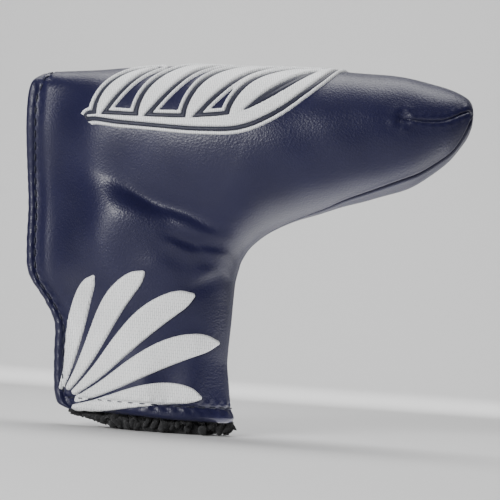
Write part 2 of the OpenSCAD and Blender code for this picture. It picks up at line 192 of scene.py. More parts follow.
def skin(t, phi, depth, squashed=True):
    # A point that lies depth below the outer surface. phi turns from the crown or the closure
    # edge (0) over the front to the seam (180), and over the back (360).
    t, phi, depth = np.broadcast_arrays(np.asarray(t, float), np.asarray(phi, float) % 360,
                                        np.asarray(depth, float))
    isBack = phi > 180
    turn = np.radians(np.where(isBack, 360 - phi, phi))
    at = t + np.maximum(0, cover["toeShift"] * depth) * np.maximum(0, 1 - t / cover["toeReach"])
    s = curve(sections, at)
    outer, seam = s[..., 0:2], s[..., 2:4]
    width = np.linalg.norm(seam - outer, axis=-1)
    along = (seam - outer) / np.maximum(width, 1e-9)[..., None]
    f = (1 - np.cos(turn)) / 2
    p = outer + (seam - outer) * f[..., None]
    isOpen = at > openFrom
    topZ = np.where(isOpen, stations[openFrom, 1], outer[..., 1])
    drop = topZ - outer[..., 1]
    inboard = p[..., 0] - edgeX(p[..., 1])
    rise = np.clip((inboard - cover["edgeFlat"]) / cover["edgeSwell"], 0, 1)
    swell = rise ** 2 * (6 - 8 * rise + 3 * rise ** 2)
    half = s[..., 4] * np.where(isBack, cover["backFullness"], 1.0)
    arch = (p[..., 1] - cover["archLow"]) / (cover["archHigh"] - cover["archLow"])
    lip = cover["lipHalf"] + cover["archGap"] * ease(arch)
    edge = lip + cover["edgeRoll"] * ease((inboard - cover["edgeFlat"]) / cover["rollReach"])
    q = np.clip((topZ - p[..., 1]) / cover["archRound"], 0, 1)
    rolled = np.sqrt(np.maximum(0, 1 - (1 - q) ** 2))
    outerY = between(edge * rolled, half * np.sin(turn), swell)
    share = between(1, np.sin(turn), swell)
    clear = between(cover["edgeClear"], cover["insideClear"],
                    ease((inboard - cover["edgeFlat"]) / cover["clearReach"]))
    free = between(cover["lipHalf"] - cover["edgeClear"], stack,
                   ease((inboard - cover["edgeFlat"]) / cover["edgeSquash"]))
    held = np.minimum(free, np.maximum(cover["leather"] * 1.3, (outerY - clear) / np.maximum(share, 1e-6)))
    total = np.where(isOpen, between(free, held, ease(drop / cover["thinOver"])), free)
    if squashed:
        below = (cover["leather"] + (depth - cover["leather"]) * (total - cover["leather"])
                 / (stack - cover["leather"]))
        d = np.where(depth <= cover["leather"], depth, below)
    else:
        d = np.minimum(depth, total - 0.02)
    inset = np.where(isOpen, d * (1 - ease(drop / cover["insetOver"])), d)
    place = ((outer + along * inset[..., None]) * (1 - f[..., None])
             + (seam - along * d[..., None]) * f[..., None])
    y = between((edge - d) * rolled, (half - d) * np.sin(turn), swell)
    soft = swell * np.sqrt(np.abs(np.sin(turn))) * ease(t / 3)
    wave = np.zeros(y.shape)
    for side, where in (("back", isBack), ("front", ~isBack)):
        if where.any():
            wave[where] = foldAt(p[..., 0][where], p[..., 1][where], side)
    y = y + soft * wave * ease(y / cover["foldFade"])
    apart = np.where(isOpen & (turn < math.pi - 0.002), cover["lipsApart"] * np.minimum(1, drop), 0)
    y = np.maximum(apart, y)
    x = place[..., 0] - d * (1 - ease(at / cover["toeBlend"]))
    return np.stack([x, np.where(isBack, y, -y), place[..., 1]], -1)


def facing(t, phi, depth=0.0):
    # the direction that the skin faces
    byT = skin(t + 0.01, phi, depth) - skin(np.maximum(t - 0.01, 0.001), phi, depth)
    byPhi = skin(t, phi + 0.3, depth) - skin(t, phi - 0.3, depth)
    n = np.cross(byT, byPhi)
    return n / np.maximum(np.linalg.norm(n, axis=-1), 1e-9)[..., None]


def turnAt(t, distance):
    # the turn at which a point lies a given distance inside the closure edge
    s = curve(sections, np.asarray(t, float))
    width = np.linalg.norm(s[..., 2:4] - s[..., 0:2], axis=-1)
    return np.degrees(np.arccos(np.clip(1 - 2 * distance / width, -1, 1)))


# Where the front panel meets the back: under the head from the toe, then down the neck
seam = {
    "route": [(0, 98), (0.7, 98), (0.95, 112), (1.3, 121), (1.8, 135), (2.2, 144), (2.6, 149), (3, 150.5),
              (3.5, 150), (4.2, 149), (4.6, 151.5), (5, 155), (5.5, 160), (5.9, 167), (6.8, 174), (7.6, 178),
              (8.5, 180), (23, 180)],
    "depth": 0.9, "width": 0.45, "lip": 0.16,
    "dart": [(4.2, 80.2), (4, 81.8), (3.75, 83.8), (3.45, 86.2), (3.1, 87.9), (2.8, 87.8), (2.45, 85.8),
             (2, 82.4), (1.3, 78.6), (0.95, 84), (0.72, 98)],
    "dartDepth": 0.8, "dartWidth": 0.34, "dartPull": 3.1,
}
seamStations = np.linspace(0, 24, 481)
seamTurns = np.interp(seamStations, *np.array(seam["route"], float).T)
blur = np.exp(-np.linspace(-2, 2, 9) ** 2)
seamTurns = np.convolve(np.pad(seamTurns, 4, mode="edge"), blur / blur.sum(), mode="valid")


def seamTurn(t):
    return np.interp(t, seamStations, seamTurns)


# Rows of topstitch: distance from the edge, stitch pitch, and how far the row pulls in
topstitch = {
    "edgeHigh": 3.9, "edgeLow": 2.9, "hemUp": 5.0,
    "pitch": 4.0, "depth": 0.5, "width": 0.55, "pucker": 0.16, "roll": 0.7,
}


def edgeInset(t):
    z = curve(sections, np.asarray(t, float))[..., 1]
    return between(topstitch["edgeLow"], topstitch["edgeHigh"], ease((z - 74) / 26))


hemStitchAt = cover["hemAt"] - 0.28 * topstitch["hemUp"]
overCrown = [(11.25, 18), (10.95, 14), (10.8, 7), (10.75, 0), (10.8, -7), (10.95, -14), (11.25, -18)]


def line3d(route, count):
    # a route of stations and turns, laid on the skin
    route = np.asarray(route, float)
    fine = skin(route[:, 0], route[:, 1], 0)
    run = np.concatenate([[0], np.cumsum(np.linalg.norm(np.diff(fine, axis=0), axis=1))])
    even = np.linspace(0, run[-1], count)
    return np.stack([np.interp(even, run, fine[:, k]) for k in range(3)], 1)


def edgeRoute(sign, low, high):
    t = np.linspace(low, high, 240)
    return np.stack([t, sign * turnAt(t, edgeInset(t))], 1)


frontRoute = edgeRoute(1, 21.45, 11.7)
backRoute = edgeRoute(-1, 11.7, 21.45)
crownRoute = throughPoints(overCrown, 60)
edgePath = line3d(np.vstack([frontRoute, crownRoute, backRoute]), 420)
hemTurns = np.linspace(float(turnAt(21.6, 3.4)), 360 - float(turnAt(21.6, 3.4)), 300)
hemPath = line3d(np.stack([np.full(300, hemStitchAt), hemTurns], 1), 300)
seamRun = np.linspace(0.72, 22.9, 500)
seamPath = line3d(np.stack([seamRun, seamTurn(seamRun)], 1), 420)


def dartRoute(sign):
    return throughPoints(seam["dart"], 90) * (1, sign)


dartPaths = {"front": line3d(dartRoute(1), 120), "back": line3d(dartRoute(-1), 120)}
dartTips = {side: path[0] for side, path in dartPaths.items()}


def sewnRow(p, path, pucker, at, wide):
    # a sunk row of stitches, with the leather pulled up beside it between the needle holes
    away, run = nearLine(p, path, 4)[:2]
    wave = np.cos(2 * math.pi * run / topstitch["pitch"])
    sunk = topstitch["depth"] * (0.75 + 0.25 * wave) * np.exp(-(away / topstitch["width"]) ** 2)
    return pucker * wave * np.exp(-((away - at) / wide) ** 2) - sunk


def detailAt(p, t, side):
    # how far the leather stands out from the plain skin at p: stitch rows, rolled edges, seam and dart
    high = sewnRow(p, edgePath, topstitch["pucker"], 1.1, 0.7)
    high += sewnRow(p, hemPath, 1.3 * topstitch["pucker"], 1.3, 0.8)
    inboard = p[..., 0] - edgeX(p[..., 2])
    inset = between(topstitch["edgeLow"], topstitch["edgeHigh"], ease((p[..., 2] - 74) / 26))
    onRoll = np.clip(inboard / inset, 0, 1)
    high += topstitch["roll"] * np.sin(math.pi * onRoll) ** 0.8 * ease((t - openFrom - 0.2) / 0.8)
    high += 0.35 * ease((t - hemStitchAt - 0.15) / 0.5) * ease((22.9 - t) / 0.4)
    away, run = nearLine(p, seamPath, 5)[:2]
    high -= seam["depth"] * np.exp(-away / seam["width"]) * ease(run / 3)
    high += seam["lip"] * np.exp(-((away - 1.3) / 0.8) ** 2) * ease(run / 3)
    away, run = nearLine(p, dartPaths[side], 5)[:2]
    start = ease(run / 1.5)
    high -= seam["dartDepth"] * start * np.exp(-away / seam["dartWidth"])
    pull = np.cos(2 * math.pi * run / seam["dartPull"])
    high += (0.12 + 0.07 * pull) * start * np.exp(-((away - 1.5) / 1.0) ** 2)
    # the dart's tip is drawn in, with small puckers round it
    tip = np.linalg.norm(p - dartTips[side], axis=-1)
    spread = np.arctan2(p[..., 2] - dartTips[side][2], p[..., 0] - dartTips[side][0])
    high -= 0.8 * np.exp(-(tip / 1.9) ** 2) - 0.22 * np.exp(-((tip - 3.4) / 1.8) ** 2)
    high += 0.1 * np.cos(5 * spread + 0.6) * np.exp(-((tip - 3.6) / 1.6) ** 2)
    return high


def softWave(p):
    # the slight unevenness of foam under soft leather
    x, y, z = p[..., 0], p[..., 1], p[..., 2]
    return 0.10 * (np.sin(x / 5.3 + 0.6 * np.sin(z / 7.1)) * np.sin(z / 6.1 + 1.3 * np.sin(x / 9.7 + 1))
                   + 0.6 * np.sin(x / 2.9 + z / 3.7 + 2 * np.sin(y / 8)))


def leatherAt(t, phi, side):
    # the finished leather surface and the direction it faces
    t, phi = np.broadcast_arrays(np.asarray(t, float), np.asarray(phi, float))
    p = skin(t, phi, 0)
    n = facing(t, phi)
    inboard = p[..., 0] - edgeX(p[..., 2])
    even = ease((inboard - 4) / 6) * ease((p[..., 2] - 9) / 6)
    high = detailAt(p, t, side) + softWave(p) * even * ease(t / 2)
    return p + n * high[..., None], n


def meshObject(name, points, faces, uvs=None):
    data = bpy.data.meshes.new(name)
    data.from_pydata(np.asarray(points, float) * mm, [], faces)
    data.validate()
    data.polygons.foreach_set("use_smooth", np.ones(len(data.polygons), bool))
    if uvs is not None:
        layer = data.uv_layers.new(name="design")
        corner = np.empty(len(data.loops), int)
        data.loops.foreach_get("vertex_index", corner)
        layer.data.foreach_set("uv", np.asarray(uvs, np.float32)[corner].ravel())
    data.update()
    piece = bpy.data.objects.new(name, data)
    bpy.context.scene.collection.objects.link(piece)
    return piece


def wallPiece(name, rings, outer, inner, poles, turned, rollEdge, rollHem, flip, arc=5):
    # One layer of a panel as a closed solid. Column 0 lies on the crown or the closure edge and the
    # last on the seam. The closure edge and the hem are rounded where turned says.
    rows, cols = outer.shape[:2]
    angle = np.linspace(0, math.pi, arc + 2)[1:-1]
    points = [outer.reshape(-1, 3), inner.reshape(-1, 3)]
    away = outer[:, 0] - outer[:, 2]
    away /= np.maximum(np.linalg.norm(away, axis=1), 1e-9)[:, None]
    middle, reach = (outer[:, 0] + inner[:, 0]) / 2, (outer[:, 0] - inner[:, 0]) / 2
    size = np.linalg.norm(reach, axis=1)[:, None, None] * rollEdge * turned[:, None, None]
    edge = (middle[:, None] + reach[:, None] * np.cos(angle)[None, :, None]
            + away[:, None] * size * np.sin(angle)[None, :, None])
    points.append(edge.reshape(-1, 3))
    down = outer[-1] - outer[-3]
    down /= np.maximum(np.linalg.norm(down, axis=1), 1e-9)[:, None]
    middle, reach = (outer[-1] + inner[-1]) / 2, (outer[-1] - inner[-1]) / 2
    size = np.linalg.norm(reach, axis=1)[:, None, None] * rollHem
    hem = (middle[:, None] + reach[:, None] * np.cos(angle)[None, :, None]
           + down[:, None] * size * np.sin(angle)[None, :, None])
    points.append(hem.reshape(-1, 3))
    points.append(np.array(poles))
    skinAt = lambda k, j: k * cols + j
    innerAt = lambda k, j: rows * cols + k * cols + j
    edgeAt = lambda k, j: 2 * rows * cols + k * arc + j
    hemAt = lambda j, m: 2 * rows * cols + rows * arc + j * arc + m
    pole = 2 * rows * cols + rows * arc + cols * arc
    faces = []
    for k in range(rows - 1):
        for j in range(cols - 1):
            faces.append((skinAt(k, j), skinAt(k, j + 1), skinAt(k + 1, j + 1), skinAt(k + 1, j)))
            faces.append((innerAt(k, j), innerAt(k + 1, j), innerAt(k + 1, j + 1), innerAt(k, j + 1)))
        strip = [(skinAt(k, 0), skinAt(k + 1, 0))] + [(edgeAt(k, m), edgeAt(k + 1, m)) for m in range(arc)]
        strip.append((innerAt(k, 0), innerAt(k + 1, 0)))
        for (a, b), (c, d) in zip(strip, strip[1:]):
            faces.append((a, b, d, c))
        last = cols - 1
        faces.append((skinAt(k, last), innerAt(k, last), innerAt(k + 1, last), skinAt(k + 1, last)))
    for j in range(cols - 1):
        here = [skinAt(rows - 1, j)] + [hemAt(j, m) for m in range(arc)] + [innerAt(rows - 1, j)]
        there = [skinAt(rows - 1, j + 1)] + [hemAt(j + 1, m) for m in range(arc)] + [innerAt(rows - 1, j + 1)]
        for m in range(arc + 1):
            faces.append((here[m], there[m], there[m + 1], here[m + 1]))
        faces.append((pole, skinAt(0, j + 1), skinAt(0, j)))
        faces.append((pole + 1, innerAt(0, j), innerAt(0, j + 1)))
    side = [skinAt(rows - 1, 0)] + [edgeAt(rows - 1, m) for m in range(arc)] + [innerAt(rows - 1, 0)]
    foot = [skinAt(rows - 1, 0)] + [hemAt(0, m) for m in range(arc)] + [innerAt(rows - 1, 0)]
    faces.append((side[0], foot[1], side[1]))
    for m in range(1, arc):
        faces.append((side[m], foot[m], foot[m + 1], side[m + 1]))
    faces.append((side[arc], foot[arc], side[arc + 1]))
    faces.append(tuple([innerAt(rows - 1, cols - 1)] + [hemAt(cols - 1, m) for m in range(arc - 1, -1, -1)]
                       + [skinAt(rows - 1, cols - 1)]))
    faces.append(tuple([pole, skinAt(0, 0)] + [edgeAt(0, m) for m in range(arc)] + [innerAt(0, 0), pole + 1]))
    faces.append((pole, pole + 1, innerAt(0, cols - 1), skinAt(0, cols - 1)))
    if flip:
        faces = [face[::-1] for face in faces]
    return meshObject(name, np.vstack(points), faces)


# The two leather panels. The sheet is one piece over the crown; the back carries the part that opens.
panels = {
    "toeRings": 110, "crownRings": 150, "edgeRings": 150, "step": 1.8, "toeLength": 4.3, "lastRing": 22.72,
    "lipRadius": 0.95, "turnedThick": 1.9, "turnIn": 6.0, "holdTurn": 76,
}


def ringStations(scale=1.0):
    # rings from the toe to the hem, closest together at the toe
    toe = 0.02 + panels["toeLength"] * np.linspace(0, 1, int(panels["toeRings"] * scale)) ** 1.35
    crown = np.linspace(toe[-1], openFrom, int(panels["crownRings"] * scale))[1:]
    edge = np.linspace(openFrom, panels["lastRing"], int(panels["edgeRings"] * scale))[1:]
    return np.concatenate([toe, crown, edge])


def panelTurns(t, side, step, start, fine=True):
    # columns from the crown or the closure edge to the seam, closer together beside the stitching.
    # The seam lies on the front of the underside, so the back panel turns past 180 to meet it.
    end = seamTurn(t) if side == "front" else 360 - seamTurn(t)
    base = list(np.arange(0, 180 + step / 2, step))
    if fine:
        base += list(np.arange(74.5, 92, step / 3)) + list(np.arange(171, 180, step / 3)) + [0.45, 1.0]
    base = np.unique(np.round(base, 4))
    # the columns past holdTurn spread or close up so that the last one lies on the seam
    hold = panels["holdTurn"]
    turn = np.where(base <= hold, base[None, :],
                    hold + (base[None, :] - hold) * (end[:, None] - hold) / (180 - hold))
    return start[:, None] + turn * (1 - start[:, None] / 180)


def openTurn(t, inset):
    # where a layer starts: on the crown, or a little inside the closure edge
    return np.where(t > openFrom, turnAt(np.maximum(t, openFrom), inset * ease((t - openFrom) / 0.7)), 0)


def leatherPanel(side):
    # one side of the leather, thicker where it is turned in at the closure edge and the hem
    t = ringStations()
    turns = panelTurns(t, side, panels["step"], openTurn(t, panels["lipRadius"]))
    phi = turns if side == "front" else -turns
    outer, n = leatherAt(t[:, None], phi, side)
    outer[t <= openFrom, 0, 1] = 0.0
    outerPlain = skin(t[:, None], phi, 0)
    inboard = outerPlain[..., 0] - edgeX(outerPlain[..., 2])
    openHere = ease((t - openFrom) / 0.8)[:, None]
    lip = openHere * (1 - ease((inboard - panels["turnIn"] + 1) / 1.5))
    hem = 1 - ease((outerPlain[..., 2] - 3.5 - panels["turnIn"]) / 1.5)
    thick = cover["leather"] + (panels["turnedThick"] - cover["leather"]) * np.maximum(lip, hem)
    inner = skin(t[:, None], phi, thick, False)
    poles = [skin(0.0, 90, 0), skin(0.0, 90, cover["leather"], False)]
    turned = ease((t - openFrom - 0.05) / 0.5)
    piece = wallPiece(side + "Leather", t, outer, inner, poles, turned, 1.0, 1.0, side == "back")
    return piece, t, turns.shape[1]


print("leather panels")
frontLeather, leatherRings, leatherCols = leatherPanel("front")
backLeather = leatherPanel("back")[0]


def crownShading(piece, rings, cols):
    # the sheet runs over the crown with no seam, so both panels shade alike where they meet there
    closed, count = (rings <= openFrom).sum(), len(rings) * cols
    data = piece.data
    ends = np.empty(len(data.edges) * 2, int)
    data.edges.foreach_get("vertices", ends)
    ends = ends.reshape(-1, 2)
    column = np.where(ends < count, ends % cols, -1)
    onBorder = ((column == 0).all(1) | (column == cols - 1).all(1)) & (ends < count).all(1)
    onBorder &= ~(((column == 0).all(1)) & (ends.min(1) // cols >= closed - 1))
    data.edges.foreach_set("use_edge_sharp", onBorder)
    data.update()
    normals = np.empty(len(data.loops) * 3, np.float32)
    data.corner_normals.foreach_get("vector", normals)
    normals = normals.reshape(-1, 3)
    verts = np.empty(len(data.loops), int)
    data.loops.foreach_get("vertex_index", verts)
    onCrown = np.isin(verts, np.arange(closed) * cols) & (normals[:, 2] > 0.2)
    normals[onCrown, 1] = 0.0
    normals[onCrown] /= np.linalg.norm(normals[onCrown], axis=1)[:, None]
    data.normals_split_custom_set(normals.tolist())


for piece in (frontLeather, backLeather):
    crownShading(piece, leatherRings, leatherCols)


# Foam interlining and pile lining
padding = {
    "foamFrom": 7.2, "liningFrom": 5.6, "step": 4.0, "pileStep": 2.6, "ringShare": 0.4, "pileShare": 0.55,
    "pileHeight": 0.7, "pileSize": 1.5, "foamGap": 0.12, "liningGap": 0.15, "hemLine": 3.5,
}


def hungFromHem(z, x):
    # below the hem the rim shows little at the closure and all of its height at the seam
    share = 0.22 + 0.78 * ease((x + 27) / 20)
    return np.where(z < padding["hemLine"], padding["hemLine"] - (padding["hemLine"] - z) * share, z)


def pile(p, size):
    # clumps of curled pile: rounded lumps of uneven size
    x, y, z = (p[..., k] / size for k in range(3))
    lumps = np.sin(x + 1.7 * np.sin(0.7 * z + 0.9 * y)) * np.sin(y + 1.3 * np.sin(0.9 * x + 2)) \
        + np.sin(z + 1.9 * np.sin(0.8 * y + 0.6 * x))
    finer = np.sin(2.3 * x + 2.1 * np.sin(1.9 * z)) * np.sin(2.6 * z + 1.8 * np.sin(2.2 * y + 1))
    return np.abs(lumps) * 0.6 + 0.4 * np.abs(finer)


def paddingPanel(side, kind):
    # one side of the foam, or of the pile lining, whose inner face is lumpy and which hangs below the hem
    foamIn = cover["leather"] + cover["foam"]
    if kind == "Lining":
        t = np.concatenate([ringStations(padding["pileShare"]), [22.9, 23.1, 23.3, 23.5, 23.7, 23.85]])
        inset, step = padding["liningFrom"], padding["pileStep"]
        depths = foamIn + padding["liningGap"], stack
    else:
        t = ringStations(padding["ringShare"])
        inset, step = padding["foamFrom"], padding["step"]
        depths = cover["leather"] + padding["foamGap"], foamIn
    turns = panelTurns(t, side, step, openTurn(t, inset), False)
    phi = turns if side == "front" else np.where(turns < 1e-6, 359.9999, 360 - turns)
    rows = t[:, None]
    outer, inner = skin(rows, phi, depths[0]), skin(rows, phi, depths[1])
    if kind == "Lining":
        high = pile(inner, padding["pileSize"]) * padding["pileHeight"] * ease(np.abs(inner[..., 1]) / 2)
        inner = inner + facing(rows, phi, stack) * (0.5 * padding["pileHeight"] - high)[..., None]
        for points in (outer, inner):
            points[..., 2] = hungFromHem(points[..., 2], points[..., 0])
    poles = [skin(0.0, 90, depth) for depth in depths]
    turned = ease((t - openFrom - 0.05) / 0.5)
    return wallPiece(side + kind, t, outer, inner, poles, turned, 0.6, 0.6, side == "back")


# Clumps of pile that hang out of the mouth, copied round the rim
rimPile = {"count": 230, "wide": 1.25, "long": 1.9, "seed": 7, "lowest": -0.9}


def takenApart(piece):
    # the points and faces of a shape that was modelled once, to be copied
    points = np.array([v.co[:] for v in piece.data.vertices])
    faces = [tuple(f.vertices) for f in piece.data.polygons]
    bpy.data.objects.remove(piece, do_unlink=True)
    return points, faces


def oneClump():
    bpy.ops.object.select_all(action="DESELECT")
    bpy.ops.mesh.primitive_ico_sphere_add(subdivisions=2, radius=1.0)
    piece = bpy.context.active_object
    for v in piece.data.vertices:
        x, y, z = v.co
        curl = 0.22 * math.sin(5.1 * x + 2.2 * z) * math.sin(4.3 * y + 1.7)
        v.co = Vector((x, y, z)) * (1 + curl + 0.12 * math.sin(9 * z + 6 * x))
    return takenApart(piece)


clumpPoints, clumpFaces = oneClump()


def rimClumps(side):
    # clump centres between the leather's hem and the inside of the lining, uneven in size and lean
    draw = np.random.default_rng(rimPile["seed"] + (side == "back"))
    count = rimPile["count"]
    turn = draw.uniform(14, 180, count)
    level = draw.uniform(22.75, 23.75, count)
    depth = draw.uniform(2.6, 8.2, count)
    size = draw.uniform(0.65, 1.25, count)[:, None] * [rimPile["wide"], rimPile["wide"], rimPile["long"]]
    centre = skin(level, turn if side == "front" else 360 - turn, depth)
    spin, lean = draw.uniform(0, 2 * math.pi, count), draw.normal(0, 0.35, (count, 2))
    points = clumpPoints[None] * size[:, None]
    c, s = np.cos(spin)[:, None], np.sin(spin)[:, None]
    x, y, z = points[..., 0] * c - points[..., 1] * s, points[..., 0] * s + points[..., 1] * c, points[..., 2]
    x, y = x + z * lean[:, :1], y + z * lean[:, 1:]
    points = np.stack([x, y, z], -1) + centre[:, None]
    x, z = points[..., 0], points[..., 2]
    points[..., 2] = np.maximum(hungFromHem(z, x), rimPile["lowest"] + 0.15 * np.sin(3 * x))
    faces = (np.array(clumpFaces)[None] + np.arange(count)[:, None, None] * len(clumpPoints)).reshape(-1, 3)
    return meshObject(side + "RimPile", points.reshape(-1, 3), faces.tolist())


print("foam and lining")
frontFoam, backFoam = paddingPanel("front", "Foam"), paddingPanel("back", "Foam")
frontLining, backLining = paddingPanel("front", "Lining"), paddingPanel("back", "Lining")
frontRimPile, backRimPile = rimClumps("front"), rimClumps("back")


# Rows of stitches. One stitch is modelled, then copied along each row.
thread = {
    "stitchLong": 2.9, "stitchWide": 0.62, "stitchHigh": 0.55,
    "seamLong": 1.9, "seamPitch": 2.6, "seamWide": 0.4, "topLift": 0.08, "seamLift": -0.1,
}


def oneStitch():
    # a short length of thread that dives into its two needle holes
    bpy.ops.object.select_all(action="DESELECT")
    bpy.ops.mesh.primitive_cylinder_add(vertices=8, radius=0.5, depth=1.0, end_fill_type="TRIFAN",
                                        rotation=(0, math.pi / 2, 0))
    piece = bpy.context.active_object
    bpy.ops.object.transform_apply(rotation=True)
    bpy.ops.object.mode_set(mode="EDIT")
    for x in (-0.36, -0.2, 0.0, 0.2, 0.36):
        bpy.ops.mesh.select_all(action="SELECT")
        bpy.ops.mesh.bisect(plane_co=(x, 0, 0), plane_no=(1, 0, 0))
    bpy.ops.mesh.normals_make_consistent(inside=False)
    bpy.ops.object.mode_set(mode="OBJECT")
    for v in piece.data.vertices:
        end = abs(2 * v.co.x)
        slim = math.sqrt(max(0.12, 1 - 0.75 * end ** 4))
        v.co.y *= slim
        v.co.z = v.co.z * slim + 0.16 - 0.75 * end ** 3
    return takenApart(piece)


stitchPoints, stitchFaces = oneStitch()


def layStitches(name, middle, ahead, up, size, lift):
    # copies of the stitch at each middle, turned to point ahead
    ahead = ahead / np.linalg.norm(ahead, axis=1)[:, None]
    up = up - (up * ahead).sum(1)[:, None] * ahead
    up /= np.linalg.norm(up, axis=1)[:, None]
    across = np.cross(up, ahead)
    scaled = stitchPoints * size
    points = (middle[:, None] + up[:, None] * (scaled[None, :, 2:3] + lift)
              + ahead[:, None] * scaled[None, :, 0:1] + across[:, None] * scaled[None, :, 1:2])
    count = len(stitchPoints)
    faces = [tuple(v + k * count for v in face) for k in range(len(middle)) for face in stitchFaces]
    return meshObject(name, points.reshape(-1, 3), faces)


def stitchRow(name, route, side, pitch, size, lift, trim=(0, 0)):
    # stitches along a route of stations and turns, half a pitch off the needle holes
    route = np.asarray(route, float)
    line = skin(route[:, 0], route[:, 1], 0)
    run = np.concatenate([[0], np.cumsum(np.linalg.norm(np.diff(line, axis=0), axis=1))])
    centres = np.arange(0.5, run[-1] / pitch - 0.45) * pitch
    centres = centres[(centres > trim[0]) & (centres < run[-1] - trim[1])]
    spots = [np.interp(centres + shift, run, route[:, k]) for shift in (-0.5, 0, 0.5) for k in (0, 1)]
    before, _ = leatherAt(spots[0], spots[1], side)
    middle, up = leatherAt(spots[2], spots[3], side)
    after, _ = leatherAt(spots[4], spots[5], side)
    return layStitches(name, middle, after - before, up, size, lift)


stitchSize = np.array([thread["stitchLong"], thread["stitchWide"], thread["stitchHigh"]])
seamSize = np.array([thread["seamLong"], thread["seamWide"], thread["seamWide"]])
print("stitching")
edgeRow = np.vstack([frontRoute, crownRoute])
hemRoute = np.stack([np.full(300, hemStitchAt), hemTurns], 1)
frontHem, backHem = hemRoute[hemRoute[:, 1] <= 180], hemRoute[hemRoute[:, 1] >= 180]
seamRoute = np.stack([seamRun, seamTurn(seamRun)], 1)
topRow = topstitch["pitch"], stitchSize, thread["topLift"]
seamRow = thread["seamPitch"], seamSize, thread["seamLift"]
frontEdgeStitches = stitchRow("frontEdgeStitches", edgeRow[:-28], "front", *topRow)
backEdgeStitches = stitchRow("backEdgeStitches", backRoute, "back", *topRow)
frontHemStitches = stitchRow("frontHemStitches", frontHem, "front", *topRow, (0, 1.5))
backHemStitches = stitchRow("backHemStitches", backHem, "back", *topRow, (1.5, 0))
seamStitches = stitchRow("seamStitches", seamRoute[:-10], "front", *seamRow)
frontDartStitches = stitchRow("frontDartStitches", dartRoute(1), "front", *seamRow)
backDartStitches = stitchRow("backDartStitches", dartRoute(-1), "back", *seamRow)


# Hook and loop strips inside the two edges: a woven tape with a field of hooks or of loops, sewn down
# round its selvedge. The hooks face the middle plane from the front, and the loops from the back.
strip = {
    "corner": (-37.0, 52.0), "wide": 6.0, "long": 19.0,
    "face": 0.2, "high": 1.1, "tape": 0.5, "selvedge": 1.1,
    "hookPitch": 0.72, "hookThread": 0.07, "loopPitch": 0.5, "loopThread": 0.09, "underlay": 0.22,
    "stitchPitch": 2.0, "stitchInset": 0.5, "stitch": (1.5, 0.3, 0.3),
}
stripMiddle = np.array([strip["corner"][0] + strip["wide"] / 2, 0, strip["corner"][1] + strip["long"] / 2])


def tapeSlab(wide, long, low, high, side):
    # a flat slab with softened edges, between two distances from the middle plane
    bpy.ops.object.select_all(action="DESELECT")
    bpy.ops.mesh.primitive_cube_add(size=1.0)
    slab = bpy.context.active_object
    slab.scale = (wide, high - low, long)
    bpy.ops.object.transform_apply(scale=True)
    soften = slab.modifiers.new("soften", "BEVEL")
    soften.width, soften.segments = 0.12, 2
    bpy.ops.object.modifier_apply(modifier="soften")
    points, faces = takenApart(slab)
    return points + stripMiddle + [0, side * (low + high) / 2, 0], faces


def smallTube(line, radius, sides=5):
    # a thin closed tube along a line in the plane of x and height
    line = np.array(line, float)
    ahead = np.gradient(line, axis=0)
    ahead /= np.linalg.norm(ahead, axis=1)[:, None]
    out = np.stack([-ahead[:, 1], ahead[:, 0]], 1)
    rings = []
    for point, across in zip(line, out):
        for k in range(sides):
            a = 2 * math.pi * k / sides
            rings.append((point[0] + radius * math.cos(a) * across[0], radius * math.sin(a),
                          point[1] + radius * math.cos(a) * across[1]))
    last = len(line) - 1
    faces = [(i * sides + k, i * sides + (k + 1) % sides,
              (i + 1) * sides + (k + 1) % sides, (i + 1) * sides + k)
             for i in range(last) for k in range(sides)]
    faces += [tuple(range(sides - 1, -1, -1)), tuple(last * sides + k for k in range(sides))]
    return np.array(rings), faces


def closureStrip(name, side, hooked):
    # the tape, its underlay and a field of hooks or loops that stand towards the middle plane
    tapeAt = strip["face"] + strip["high"] - strip["tape"]
    fieldWide, fieldLong = strip["wide"] - 2 * strip["selvedge"], strip["long"] - 2 * strip["selvedge"]
    parts = [tapeSlab(strip["wide"], strip["long"], tapeAt, tapeAt + strip["tape"], side),
             tapeSlab(fieldWide, fieldLong, tapeAt - strip["underlay"], tapeAt + 0.1, side)]
    height = strip["high"] - strip["tape"] - strip["underlay"]
    draw = np.random.default_rng(3 if hooked else 4)
    if hooked:
        bend = [(0, -0.05), (0, 0.16), (0.03, 0.27), (0.11, 0.34), (0.2, 0.33), (0.25, 0.25)]
        shape, faces = smallTube(bend, strip["hookThread"])
        pitch, jitter, spin = strip["hookPitch"], 0.05, 0.25
    else:
        bend = [(-0.18, -0.05), (-0.24, 0.1), (-0.18, 0.26), (0, 0.33),
                (0.18, 0.26), (0.24, 0.1), (0.18, -0.05)]
        shape, faces = smallTube(bend, strip["loopThread"])
        pitch, jitter, spin = strip["loopPitch"], 0.12, math.pi
    shape = shape * [1, 1, height / 0.40]
    across, along = (np.arange(-reach / 2 + 0.35, reach / 2 - 0.3, pitch) for reach in (fieldWide, fieldLong))
    for k, x in enumerate(across):
        for z in along:
            turn = draw.uniform(-spin, spin) + (math.pi if hooked and k % 2 else 0)
            c, d = math.cos(turn), math.sin(turn)
            px, pz = shape[:, 0] * c - shape[:, 1] * d, shape[:, 0] * d + shape[:, 1] * c
            shift = draw.uniform(-jitter, jitter, 2)
            points = np.stack([stripMiddle[0] + x + shift[0] + px,
                               side * (strip["face"] + height - shape[:, 2]),
                               stripMiddle[2] + z + shift[1] + pz], 1)
            parts.append((points, faces if side > 0 else [f[::-1] for f in faces]))
    joined, count = [], 0
    for points, faces in parts:
        joined += [tuple(v + count for v in f) for f in faces]
        count += len(points)
    return meshObject(name, np.vstack([points for points, _ in parts]), joined)


